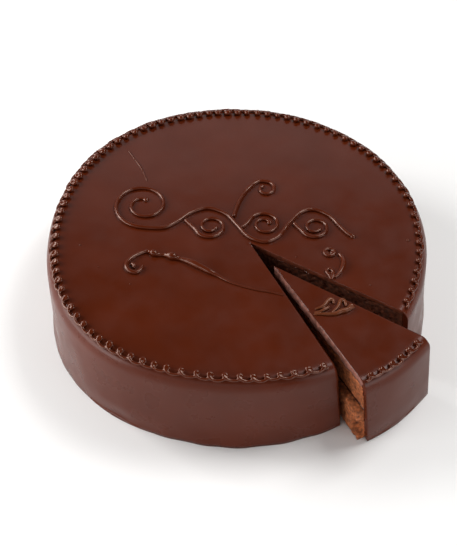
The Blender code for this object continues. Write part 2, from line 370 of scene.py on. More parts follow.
def finished_object(name, bm, materials, smooth_shading=True):
    """A new object at the origin with the bmesh's shape."""
    mesh = bpy.data.meshes.new(name)
    bm.to_mesh(mesh)
    bm.free()
    for material in materials:
        mesh.materials.append(material)
    if smooth_shading:
        mesh.shade_smooth()
    obj = bpy.data.objects.new(name, mesh)
    bpy.context.scene.collection.objects.link(obj)
    return obj


def serve(obj, slot, *nodes):
    """A piece that rides on the torte and stands for these solids, whose parts it hides. The slot is not
    used.
    """
    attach(obj, BODY)
    if nodes:
        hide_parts(*nodes)
    return obj


def section(columns, rows, corner):
    """An upright sheet of cells whose corners stand at corner(column, row) = (reach, height).

    Its depth layer runs from 0 on the first row to 1 on the last, and its run layer holds the column.
    """
    bm = bmesh.new()
    bmesh.ops.create_grid(bm, x_segments=columns, y_segments=rows, size=1.0)
    depth = bm.verts.layers.float.new("depth")
    run = bm.verts.layers.float.new("run")
    for vertex in bm.verts:
        column = round((vertex.co.x + 1) / 2 * columns)
        row = round((vertex.co.y + 1) / 2 * rows)
        reach, height = corner(column, row)
        vertex.co = (reach, 0.0, height)
        vertex[depth] = row / rows
        vertex[run] = float(column)
    return bm


# Rounds of closing in on the outline, which isn't a true circle.
EDGE_ROUNDS = 4


def edge_distance(radius, start, way):
    """How far it is from a place inside the round to its edge, going one way in plan."""
    along = start.dot(way)
    edge_radius = radius
    for _ in range(EDGE_ROUNDS):
        distance = -along + math.sqrt(along * along - start.length_squared + edge_radius * edge_radius)
        edge = start + way * distance
        edge_radius = radius * outline_factor(math.atan2(edge.y, edge.x))
    return distance


def fan_place(cake, fan, turn, reach, height):
    """Where a section's corner comes to stand after its turn about the wedge's point."""
    angle = math.radians(fan.start) + turn
    way = Vector((math.cos(angle), math.sin(angle)))
    start = fan.point + KNIFE_LEAN * (1 - height / cake.height) - fan.centre
    edge = edge_distance(cake.radius, start, way)
    flat = cake.radius - cake.shoulder_inset
    distance = reach * (edge - cake.shoulder_inset) / flat if reach < flat else edge + reach - cake.radius
    plan = fan.centre + start + way * distance
    return Vector((plan.x, plan.y, height * top_height(cake.height, plan.x, plan.y) / cake.height))


# Marks of a vertex in the cut layer: on neither cut, on the cut at the fan's start or end, or on both.
OFF_CUT, START_CUT, END_CUT, BOTH_CUTS = 0, 1, 2, 3
# How near counts as the same place, as the turning axis and, in radians, as a cut.
SAME_PLACE = 0.001 * MM
ON_AXIS = 0.01 * MM
ON_CUT = 0.001


def fan_out(bm, cake, fan, steps):
    """Sweeps a section round the wedge's point and marks the vertices of the two cut faces."""
    sweep = math.radians(fan.sweep)
    bmesh.ops.spin(bm, geom=bm.verts[:] + bm.edges[:] + bm.faces[:], cent=(0, 0, 0), axis=(0, 0, 1),
                   angle=sweep, steps=steps, use_merge=False)
    bmesh.ops.remove_doubles(bm, verts=bm.verts, dist=SAME_PLACE)
    cut = bm.verts.layers.int.new("cut")
    for vertex in bm.verts:
        x, y, height = vertex.co
        reach = math.hypot(x, y)
        turn = math.atan2(y, x) if reach > ON_AXIS else 0.0
        if turn < -ON_CUT:
            turn += math.tau
        if reach <= ON_AXIS:
            vertex[cut] = BOTH_CUTS
        elif turn < ON_CUT:
            vertex[cut] = START_CUT
        elif turn > sweep - ON_CUT:
            vertex[cut] = END_CUT
        vertex.co = fan_place(cake, fan, turn, reach, height)
    bmesh.ops.recalc_face_normals(bm, faces=bm.faces)
    bm.normal_update()


def cut_faces(bm):
    """The faces of the two knife cuts."""
    cut = bm.verts.layers.int["cut"]
    found = []
    for face in bm.faces:
        marks = [vertex[cut] for vertex in face.verts if vertex[cut] != BOTH_CUTS]
        if marks and OFF_CUT not in marks and len(set(marks)) == 1:
            found.append(face)
    return found


def inward(fan, mark):
    """The level direction from a knife cut into the piece."""
    angle = math.radians(fan.start if mark == START_CUT else fan.start + fan.sweep)
    side = 1 if mark == START_CUT else -1
    return Vector((-math.sin(angle) * side, math.cos(angle) * side, 0.0))


def sponge_radius(cake):
    """Radius of the sponge's room inside the glaze."""
    return cake.radius + cake.wall_bulge - cake.glaze_side


def glaze_underside(cake, reach):
    """Height of the glaze's underside: it pooled thickest in the middle."""
    share = min(1.0, reach / sponge_radius(cake))
    return cake.height - cake.glaze_middle + (cake.glaze_middle - cake.glaze_edge) * share


def glaze_corner(cake, top_cells, shoulder_cells, wall_cells, rows):
    """Corners of the glaze's section: along the top, round the shoulder and down the side."""
    flat = cake.radius - cake.shoulder_inset
    inside = sponge_radius(cake)
    inside_top = glaze_underside(cake, inside)
    wall = cake.height - cake.shoulder_drop

    def corner(column, row):
        depth = row / rows
        if column <= top_cells:
            reach = flat * column / top_cells
            low = glaze_underside(cake, reach)
            return reach, low + (cake.height - low) * depth
        if column <= top_cells + shoulder_cells:
            share = (column - top_cells) / shoulder_cells
            turn = math.pi / 2 * share
            outer = Vector((flat + (cake.shoulder_inset + cake.wall_bulge) * math.sin(turn),
                            cake.height - cake.shoulder_drop * (1 - math.cos(turn))))
            across, down = min(1.0, 2 * share), max(0.0, 2 * share - 1)
            reach = flat + (inside - flat) * across
            inner = Vector((reach, glaze_underside(cake, reach) + (wall - inside_top) * down))
            return tuple(inner.lerp(outer, depth))
        height = wall * (1 - (column - top_cells - shoulder_cells) / wall_cells)
        outer = cake.radius + cake.foot_bulge + (cake.wall_bulge - cake.foot_bulge) * height / wall
        return inside + (outer - inside) * depth, height

    return corner


# Cells of the glaze's section: through its thickness, along the top, round the shoulder and down the side.
GLAZE_ROWS = 6
TOP_CELLS = 46
SHOULDER_CELLS = 8
WALL_CELLS = 20
# The side's finish starts at the shoulder, and a cut shows broken glaze a few columns further.
WALL_START = TOP_CELLS - 0.5
BROKEN_END = TOP_CELLS + 4

# How far the foot swells out in millimetres, how many times round the cake and where. Drops add to it,
# and both fade out at a height.
FOOT_SWELL, FOOT_SWELLS, FOOT_SWELL_AT = 1.2, 5, math.radians(-92)
FOOT_DROP, FOOT_DROP_SIZE = 0.9, 16 * MM
FOOT_HEIGHT = 16 * MM

# Ripples of the poured skin as (height, lump size, seed): pools on top and long runs down the side.
POOLS = ((0.10 * MM, 34 * MM, 3.0), (0.035 * MM, 11 * MM, 8.0))
RUNS = ((0.45 * MM, 30 * MM, 21.0), (0.16 * MM, 11 * MM, 33.0))
RUN_STRETCH = 0.35
RUNS_FADE = 20 * MM

# The share of the glaze's thickness past which a vertex lies in the skin.
SKIN = 0.99
# Grooves, pits and rags that the knife leaves in a cut, the rags above a share of the cake's height.
GROOVES, GROOVE_DEPTH = 3, 0.30 * MM
PIT_DEPTH, PIT_SIZE = 0.22 * MM, 3 * MM
EDGE_BACK = 0.12 * MM
RAGS = ((0.55, 5 * MM, 40.0), (0.5, 2 * MM, 44.0))
RAG_ABOVE = 0.8
SMEAR_SIZE = 9 * MM

# A lip thins out between two shares of the radius and starts between two shares of the height.
LIP_ALONG = (0.1, 0.9)
LIP_THINNING = 0.75
LIP_HEIGHTS = (0.75, 0.85)
LIP_SIZE = 6 * MM


def foot_wave(place):
    """How far the glaze's foot stands out past its true line, where it ran down on to the plate."""
    azimuth = math.atan2(place.y, place.x)
    swell = FOOT_SWELL * math.cos(FOOT_SWELLS * (azimuth - FOOT_SWELL_AT))
    swell = swell + FOOT_DROP * waves((place.x, place.y, 0), FOOT_DROP_SIZE, 71.0)
    return MM * swell * (1 - smooth(0.0, FOOT_HEIGHT, place.z))


def layered(place, layers):
    """Noise of several layers, each a (height, lump size, seed)."""
    return sum(height * waves(place, size, seed) for height, size, seed in layers)


def ripple(cake, place, normal):
    """How far the poured skin stands off its true shape: long runs down the side, soft pools on top."""
    side = 1 - abs(normal.z)
    runs = layered(Vector((place.x, place.y, place.z * RUN_STRETCH)), RUNS)
    return layered(place, POOLS) * abs(normal.z) + runs * side * smooth(0, RUNS_FADE, cake.height - place.z)


def curled_lip(cake, fan, lip, place, outside):
    """How far the glaze curls out past a knife cut: most near the wedge's point, and less at the skin."""
    along = (place.xy - fan.point).length / cake.radius
    curl = lip * (1 - LIP_THINNING * smooth(*LIP_ALONG, along)) * (1 + 0.5 * waves(place, LIP_SIZE, 57.0))
    curl *= smooth(*LIP_HEIGHTS, place.z / cake.height)
    return curl * (math.sin(math.pi * (0.25 + 0.75 * outside)) - 0.3 * outside)


def pour_glaze(name, cake, fan, steps, materials, smear, lip=0.0):
    """The glaze of one fan as a closed skin, rippled outside and ragged where it was cut.

    The materials are for the top, the broken glaze of the cuts and the side. The knife drags the underside
    down by about the smear at both cuts, and curls the glaze out by the lip at the fan's start.
    """
    bm = section(TOP_CELLS + SHOULDER_CELLS + WALL_CELLS, GLAZE_ROWS,
                 glaze_corner(cake, TOP_CELLS, SHOULDER_CELLS, WALL_CELLS, GLAZE_ROWS))
    fan_out(bm, cake, fan, steps)
    depth, cut = bm.verts.layers.float["depth"], bm.verts.layers.int["cut"]
    run = bm.verts.layers.float["run"]
    for face in bm.faces:
        if min(vertex[run] for vertex in face.verts) > WALL_START:
            face.material_index = 2
    for face in cut_faces(bm):
        face.material_index = 1 if max(vertex[run] for vertex in face.verts) < BROKEN_END else 2
    for vertex in bm.verts:
        place = vertex.co.copy()
        outside = max(0.0, vertex[depth])
        if outside > SKIN:
            vertex.co += vertex.normal * ripple(cake, place, vertex.normal)
            if vertex[run] > TOP_CELLS:
                vertex.co += Vector((place.x, place.y, 0.0)).normalized() * foot_wave(place)
        if vertex[cut] in (START_CUT, END_CUT):
            groove = math.sin(outside * math.pi * GROOVES) ** 2
            back = GROOVE_DEPTH * groove + PIT_DEPTH * (1 + waves(place, PIT_SIZE, 12.0))
            if outside > SKIN:
                back = EDGE_BACK
            if vertex[cut] == START_CUT:
                back -= curled_lip(cake, fan, lip, place, outside)
            vertex.co += inward(fan, vertex[cut]) * back
            rag = (1 - outside) * MM * layered(place, RAGS)
            rag -= (1 - outside) * smear * (0.75 + 0.7 * waves(place, SMEAR_SIZE, 51.0))
            vertex.co.z += rag if place.z > RAG_ABOVE * cake.height else 0.0
    return finished_object(name, bm, materials)


# Sizes of the sponge's lumps, crumbs and pores, and how deep each goes in millimetres.
LUMP_SIZE, CRUMB_SIZE, PORE_SIZE = 8 * MM, 2.4 * MM, 4.2 * MM
LUMP_DEPTH, CRUMB_DEPTH, PORE_DEPTH = 0.7, 0.6, 1.3
PORE_REACH = 0.34


def crumb_depth(place, seed):
    """How far torn sponge lies behind the knife's plane: soft lumps, crumbs and pores."""
    lumps = 0.5 + 0.5 * waves(place, LUMP_SIZE, seed)
    crumbs = abs(waves(place, CRUMB_SIZE, seed + 5.0))
    hollow = noise.voronoi(Vector(place) / PORE_SIZE)[0][0]
    pore = max(0.0, 1 - hollow / PORE_REACH)
    return MM * (LUMP_DEPTH * lumps + CRUMB_DEPTH * crumbs + PORE_DEPTH * pore)


JAM_DEPTH, JAM_DROP, JAM_DROP_SIZE = 0.35, 0.45, 3.5 * MM


def jam_depth(place, seed):
    """How far the jam stands behind the knife's plane, in soft drops."""
    return MM * (JAM_DEPTH + JAM_DROP * waves(place, JAM_DROP_SIZE, seed))


# The hollow behind the slice's side glaze: the shares of the reach and the heights it fades between.
HOLLOW_DEPTH = 6 * MM
HOLLOW_REACH = (0.94, 0.96)
HOLLOW_FOOT = (0.0, 3 * MM)
HOLLOW_TOP = (16 * MM, 21 * MM)


def side_hollow(fan, place, reach_end):
    """How much deeper the cut lies at a place in the hollow near the slice's outer end."""
    rim = smooth(*HOLLOW_REACH, (place.xy - fan.centre).length / reach_end)
    return HOLLOW_DEPTH * rim * (1 - smooth(*HOLLOW_TOP, place.z)) * smooth(*HOLLOW_FOOT, place.z)


# The most of the room between neighbouring sections that a torn cut may take up.
ROOM_SHARE = 0.7


def bake_layer(name, cake, fan, steps, size, low, high, relief, material, hollowed):
    """One layer of the filling as a closed solid with torn cuts. Low and high give heights by reach."""
    reach_end = sponge_radius(cake) - GAP
    columns, rows = size

    def corner(column, row):
        reach = reach_end * column / columns
        return reach, low(reach) + (high(reach) - low(reach)) * row / rows

    bm = section(columns, rows, corner)
    fan_out(bm, cake, fan, steps)
    cut = bm.verts.layers.int["cut"]
    step = math.radians(fan.sweep) / steps
    for vertex in bm.verts:
        mark = vertex[cut]
        if mark in (START_CUT, END_CUT):
            start = fan.point + KNIFE_LEAN * (1 - vertex.co.z / cake.height)
            room = ROOM_SHARE * (vertex.co.xy - start).length * math.sin(step)
            back = relief(vertex.co, 7.0 * mark + fan.sweep)
            if hollowed:
                back += side_hollow(fan, vertex.co, reach_end)
            vertex.co += inward(fan, mark) * min(room, back)
    return finished_object(name, bm, [material])


def bake_filling(prefix, cake, fan, steps, crumb_colour, jam_colour, slumped=None):
    """Both sponges and the jam between them, of the cake or of the slice, whose lower sponge slumped.

    The slice gives a slumped fan for its lower sponge, and its layers are hollowed at the end.
    """
    jam_top = cake.jam_bottom + cake.jam_thickness
    # The crumb colour carries painted light and shade: dark for the cake's shaded notch, pale for the
    # slice's lit end.
    crumb = crumb_finish(prefix + "crumb", crumb_colour)
    jam = jam_finish(prefix + "jam", jam_colour)
    layers = (
        ("sponge_lower", (150, 34), lambda r: 0.0, lambda r: cake.jam_bottom - GAP, crumb_depth, crumb),
        ("jam_layer", (150, 3), lambda r: cake.jam_bottom, lambda r: jam_top, jam_depth, jam),
        ("sponge_upper", (150, 32), lambda r: jam_top + GAP, lambda r: glaze_underside(cake, r) - GAP,
         crumb_depth, crumb),
    )
    for layer, size, low, high, relief, material in layers:
        own_fan = slumped if slumped and layer == "sponge_lower" else fan
        obj = bake_layer(prefix + layer + "_torn", cake, own_fan, steps, size, low, high, relief, material,
                         hollowed=slumped is not None)
        serve(obj, "jam" if layer == "jam_layer" else "sponge", prefix + layer)


def piped_line(name, points):
    """A piped thread along (x, y, z, radius) points, as an open-ended curve with closed caps."""
    curve = bpy.data.curves.new(name, "CURVE")
    curve.dimensions = "3D"
    curve.twist_mode = "Z_UP"
    curve.bevel_depth = 1.0
    curve.bevel_resolution = 3
    curve.use_fill_caps = True
    spline = curve.splines.new("POLY")
    spline.points.add(len(points) - 1)
    for spline_point, (x, y, z, radius) in zip(spline.points, points):
        spline_point.co = (x, y, z, 1.0)
        spline_point.radius = radius
    obj = bpy.data.objects.new(name, curve)
    bpy.context.scene.collection.objects.link(obj)
    return obj


def fuse(name, lines, blobs, grain, rounds, material):
    """Joins piped lines and blobs into one skin, as soft glaze runs together."""
    depsgraph = bpy.context.evaluated_depsgraph_get()
    bm = bmesh.new()
    for line in lines:
        bm.from_mesh(bpy.data.meshes.new_from_object(line.evaluated_get(depsgraph)))
    for x, y, z, radius, flatness in blobs:
        ball = bmesh.ops.create_icosphere(bm, subdivisions=3, radius=radius)["verts"]
        bmesh.ops.scale(bm, verts=ball, vec=(1.0, 1.0, flatness))
        bmesh.ops.translate(bm, verts=ball, vec=(x, y, z))
    for line in lines:
        bpy.data.objects.remove(line, do_unlink=True)
    obj = finished_object(name, bm, [material])
    remesh = obj.modifiers.new("fuse", "REMESH")
    remesh.mode = "VOXEL"
    remesh.voxel_size = grain
    remesh.use_smooth_shade = True
    soften = obj.modifiers.new("soften", "SMOOTH")
    soften.factor = 0.5
    soften.iterations = rounds
    return bake_modifiers(obj)


def bake_modifiers(obj):
    """Applies a piece's modifiers to its mesh."""
    depsgraph = bpy.context.evaluated_depsgraph_get()
    mesh = bpy.data.meshes.new_from_object(obj.evaluated_get(depsgraph))
    obj.modifiers.clear()
    old = obj.data
    obj.data = mesh
    bpy.data.meshes.remove(old)
    mesh.name = obj.name
    mesh.shade_smooth()
    return obj


def spline_through(stations, step):
    """Evenly spaced points on a smooth curve through stations of (x, y, lift, radius)."""
    padded = [stations[0]] + list(stations) + [stations[-1]]
    samples = []
    for first, start, end, last in zip(padded, padded[1:], padded[2:], padded[3:]):
        count = max(1, round(math.dist(start[:2], end[:2]) / step))
        for index in range(count):
            t = index / count
            weights = (-0.5 * t + t * t - 0.5 * t ** 3, 1 - 2.5 * t * t + 1.5 * t ** 3,
                       0.5 * t + 2 * t * t - 1.5 * t ** 3, -0.5 * t * t + 0.5 * t ** 3)
            quad = (first, start, end, last)
            samples.append(tuple(sum(w * p[axis] for w, p in zip(weights, quad)) for axis in range(4)))
    samples.append(stations[-1])
    return samples


# A stroke's points stand a step apart, lifted by a share of its radius. It's uneven and wanders.
STROKE_STEP = 0.9 * MM
LIFT = 0.72
THREAD_RADIUS = 1.32
THICK_SHARE, THICK_SIZE = 0.10, 6 * MM
WANDER, WANDER_SIZE = 0.12 * MM, 9 * MM


def stroke(cake, name, stations, rng):
    """A stroke piped on the glaze through (x, y, radius) or (x, y, radius, lift) in millimetres."""
    in_metres = [(s[0] * MM, s[1] * MM, (s[3] if len(s) > 3 else 0.0) * MM, s[2] * MM) for s in stations]
    seed = rng.uniform(0, 50)
    points = []
    for x, y, lift, radius in spline_through(in_metres, STROKE_STEP):
        radius *= 1 + THICK_SHARE * waves((x, y, 0), THICK_SIZE, seed)
        x += WANDER * waves((x, y, 0), WANDER_SIZE, seed + 9)
        y += WANDER * waves((x, y, 0), WANDER_SIZE, seed + 17)
        points.append((x, y, top_height(cake.height, x, y) + LIFT * radius + lift, radius))
    return piped_line(name, points)


def piped(torte, name, strokes, blobs, rounds, finish, rng):
    """A piece of several strokes and blobs, run together."""
    lines = [stroke(torte.cake, f"{name}_{index}", stations, rng) for index, stations in enumerate(strokes)]
    return fuse(name, lines, blobs, torte.piping.stroke_grain, rounds, finish)


def blob(cake, x, y, radius, flatness=0.8, sunk=0.2):
    """A round lump of glaze at a place in millimetres."""
    x, y, radius = x * MM, y * MM, radius * MM
    return x, y, top_height(cake.height, x, y) + sunk * radius, radius, flatness


def scroll(centre, outer, inner, start, turns, count, radius=THREAD_RADIUS):
    """Stations of a flat spiral, in millimetres, from its outer end in; turns below zero run clockwise."""
    stations = []
    for index in range(count + 1):
        share = index / count
        angle = math.radians(start) + math.tau * turns * share
        reach = outer + (inner - outer) * share
        stations.append((centre[0] + reach * math.cos(angle), centre[1] + reach * math.sin(angle),
                         radius * (1.0 - 0.25 * share)))
    return stations


def wave(points, radius=THREAD_RADIUS):
    """Stations of full thread width through plan points in millimetres."""
    return [(x, y, radius) for x, y in points]


LOOP_POINTS = 16
# The spread of the loops' lengths and sizes, and of their sway in millimetres.
PITCH_SPREAD = (0.86, 1.12)
SIZE_SPREAD = (0.78, 1.16)
SWAY_SPREAD = (-0.4, 0.4)
# Loops swing widest at one azimuth, and stand furthest in from the rim at another.
WIDEST_AT, WIDTH_SWING = math.radians(160), 0.25
DEEPEST_AT = math.radians(120)
INSET, INSET_SWING = 3.2 * MM, 0.9 * MM
# The thread's thickness in shares of its radius: thin, what a knob adds, uneven, what the far side adds.
THIN_SHARE, KNOB_SHARE = 0.76, 0.38
UNEVEN_SHARE, UNEVEN_SIZE = 0.14, 5 * MM
FAR_SHARE = 0.08
# Its height in shares of its radius: on the glaze, what a knob adds, what crossing over adds.
LOW_LIFT, KNOB_LIFT, OVER_LIFT = 0.55, 0.60, 0.50
# Where along a loop it rises to cross itself and falls again.
OVER_RISE = (0.45, 0.75)
OVER_FALL = (0.8, 1.0)
# Past a distance out from its middle line it slumps, by a share of the rest.
SLUMP_SHARE, SLUMP_PAST = 0.35, 0.4 * MM


# Length of a loop of the border in millimetres, and how much longer it is in front and on the right.
PITCH, FRONT_PITCH, RIGHT_PITCH = 7.75, 0.85, 0.45


def loop_pitch(azimuth):
    """Length of one loop of the border at an azimuth in degrees."""
    turn = math.radians(azimuth)
    return MM * (PITCH - FRONT_PITCH * math.sin(turn) + RIGHT_PITCH * math.cos(turn))


def looped_border(cake, piping, fan, name, start, end, rng):
    """A thread piped round the rim in small loops, from one azimuth in degrees to another."""
    loops = []
    azimuth = start
    while azimuth < end:
        pitch = loop_pitch(azimuth) * rng.uniform(*PITCH_SPREAD)
        loops.append((azimuth, rng.uniform(*SIZE_SPREAD), rng.uniform(*SWAY_SPREAD) * MM))
        azimuth += math.degrees(pitch / piping.ring)
    stretch = (end - start) / (azimuth - start)
    loops.append((azimuth, 1.0, 0.0))
    points = []
    for (first, size, sway), (last, next_size, next_sway) in zip(loops, loops[1:]):
        for index in range(LOOP_POINTS):
            share = index / LOOP_POINTS
            turn = math.tau * share
            fat = size + (next_size - size) * share
            knob = 0.5 - 0.5 * math.cos(turn)
            along = math.radians(start + (first + (last - first) * share - start) * stretch)
            azimuth = along + piping.loop_length * fat * math.sin(turn) / piping.ring
            inset = INSET + INSET_SWING * math.cos(along - DEEPEST_AT)
            width = piping.loop_width * (1 + WIDTH_SWING * math.cos(along - WIDEST_AT))
            across = width * fat * math.cos(turn) + sway + (next_sway - sway) * share
            ring = cake.radius * outline_factor(azimuth) - inset + across
            x = fan.centre.x + ring * math.cos(azimuth)
            y = fan.centre.y + ring * math.sin(azimuth)
            uneven = 1 + UNEVEN_SHARE * waves((x, y, 0), UNEVEN_SIZE, 60.0) + FAR_SHARE * math.sin(along)
            radius = piping.thread * (THIN_SHARE + KNOB_SHARE * knob ** 2) * uneven
            over = smooth(*OVER_RISE, share) * (1 - smooth(*OVER_FALL, share))
            slump = SLUMP_SHARE * max(0.0, across - SLUMP_PAST)
            lift = radius * (LOW_LIFT + KNOB_LIFT * knob + OVER_LIFT * over) - slump
            points.append((x, y, top_height(cake.height, x, y) + lift, radius))
    return piped_line(name, points)


# How many sections each piece is swept through: the filling and the glaze of the cake, then of the slice.
CAKE_FILLING_STEPS, CAKE_GLAZE_STEPS = 36, 440
SLICE_FILLING_STEPS, SLICE_GLAZE_STEPS = 6, 60

# Azimuths in degrees that the border is piped between.
CAKE_BORDER = (-31.0, 296.6)
SLICE_BORDER = (-62.0, -39.2)

# How far the knife dragged the glaze's underside down and curled the slice's glaze out.
CAKE_SMEAR, SLICE_SMEAR = 0.8 * MM, 3.2 * MM
SLICE_LIP = 1.7 * MM


class TORTE_OT_filling(bpy.types.Operator):
    """Bake both sponges and the jam of the cake and of its slice"""

    bl_idname = "torte.filling"
    bl_label = "Sponge and Jam"

    def execute(self, context):
        torte = context.scene.torte
        finish = torte.finish
        # The cake's dark crumb paints the shade in its notch.
        # The slice's pale crumb paints the light on its cut end.
        bake_filling("", torte.cake, CAKE, CAKE_FILLING_STEPS, finish.crumb, finish.jam)
        bake_filling("slice_", torte.cake, SLICE, SLICE_FILLING_STEPS, finish.slice_lit_crumb, finish.jam,
                     SLUMPED)
        return {"FINISHED"}


class TORTE_OT_glaze(bpy.types.Operator):
    """Pour the glaze over the cake and over its slice"""

    bl_idname = "torte.glaze"
    bl_label = "Poured Glaze"

    def execute(self, context):
        torte = context.scene.torte
        poured = glaze_finish("poured_glaze", torte.finish.glaze)
        wiped = glaze_finish("side_glaze", torte.finish.side, low=0.24, high=0.36, grain=0.3, gloss=0.2)
        broken = cut_glaze_finish("broken_glaze", torte.finish.glaze_cut)
        # The slice's broken glaze is painted pale and pink for the window light on its cut edge.
        slice_lit_broken = cut_glaze_finish("slice_broken_glaze", torte.finish.slice_lit_cut)
        cake_glaze = pour_glaze("cake_glaze", torte.cake, CAKE, CAKE_GLAZE_STEPS,
                                [poured, broken, wiped], CAKE_SMEAR)
        serve(cake_glaze, "glaze", "glaze")
        slice_glaze = pour_glaze("cut_slice_glaze", torte.cake, SLICE, SLICE_GLAZE_STEPS,
                                 [poured, slice_lit_broken, wiped], SLICE_SMEAR, SLICE_LIP)
        serve(slice_glaze, "glaze", "slice_glaze")
        return {"FINISHED"}


class TORTE_OT_border(bpy.types.Operator):
    """Pipe the looped border round the rim of the cake and of its slice"""

    bl_idname = "torte.border"
    bl_label = "Looped Border"

    def execute(self, context):
        torte = context.scene.torte
        cake, piping = torte.cake, torte.piping
        finish = piping_finish("border_piping", torte.finish.glaze, 0.12)
        rng = Random(5)
        line = looped_border(cake, piping, CAKE, "border_line", *CAKE_BORDER, rng)
        ring = fuse("looped_border", [line], [], piping.border_grain, 2, finish)
        serve(ring, "piping", "shell_border")
        line = looped_border(cake, piping, SLICE, "slice_border_line", *SLICE_BORDER, rng)
        arc = fuse("slice_looped_border", [line], [], piping.border_grain, 2, finish)
        serve(arc, "piping", "slice_shell_border")
        return {"FINISHED"}


class TORTE_OT_drops(bpy.types.Operator):
    """Let a few stray drops and a fine thread of glaze fall on the top"""

    bl_idname = "torte.drops"
    bl_label = "Stray Drops"

    def execute(self, context):
        torte = context.scene.torte
        cake = torte.cake
        rng = Random(31)
        specks = ((-98.3, -7.5, 0.7), (-86.2, -26.3, 0.6), (-66.0, -40.6, 0.6), (-65.5, 12.3, 0.5),
                  (37.2, -19.0, 0.6), (81.6, -43.0, 0.7), (73.5, -1.4, 0.8), (74.9, -2.6, 0.6),
                  (108.6, -5.6, 1.1))
        drops = [blob(cake, x, y, radius, flatness=0.7, sunk=0.1) for x, y, radius in specks]
        ridge = [(-70.5, 79.0, 0.5, -0.45), (-64.9, 68.3, 0.6, -0.45), (-61.4, 61.7, 0.6, -0.42),
                 (-57.2, 49.4, 0.5, -0.48)]
        finish = piping_finish("stray_glaze", torte.finish.glaze, 0.1, low=0.28, high=0.38, gloss=0.4)
        serve(piped(torte, "stray_drops", [ridge], drops, 1, finish, rng), "piping")
        return {"FINISHED"}


class TORTE_OT_vine(bpy.types.Operator):
    """Pipe the waved stem with its scrolls across the middle"""

    bl_idname = "torte.vine"
    bl_label = "Scrolled Vine"

    def execute(self, context):
        torte = context.scene.torte
        cake = torte.cake
        rng = Random(11)
        volute = scroll((-59, 27), 20, 5, -90, -1.55, 22)
        stem = wave([(-46, 6.5), (-37, 12), (-28, 20), (-17, 23.5), (-6, 18), (1, 8), (8, -2), (18, -6.5),
                     (27, -2), (34, 9), (42, 19), (51, 21.5), (60, 16), (66, 7), (71, 0), (74, -2)])
        strokes = (
            volute[::-1] + stem,
            wave([(-32, 13)]) + scroll((-16, 7.5), 10.5, 3.5, -170, 1.4, 14),
            wave([(4.2, 6)]) + scroll((18.5, 9), 10.5, 3.5, 170, -1.4, 14),
            wave([(37.3, 9.2)]) + scroll((50.5, 6), 9.5, 3.5, -165, 1.35, 14),
            wave([(-1.2, 15.5), (2, 27), (7, 38), (14, 46.5)]) + scroll((20, 41), 7, 3, 100, -0.9, 8),
        )
        ends = ((strokes[0][0], 1.9), (stem[-1], 1.8), (strokes[1][-1], 1.7), (strokes[2][-1], 1.8),
                (strokes[3][-1], 1.7), (strokes[4][-1], 1.8))
        blobs = [blob(cake, *end[:2], radius) for end, radius in ends]
        finish = piping_finish("vine_piping", torte.finish.glaze, 0.1)
        vine = piped(torte, "scrolled_vine", strokes, blobs, 2, finish, rng)
        serve(vine, "piping", "vine_stem", "vine_scroll_left", "vine_scroll_middle", "vine_scroll_right",
              "vine_tendril")
        return {"FINISHED"}


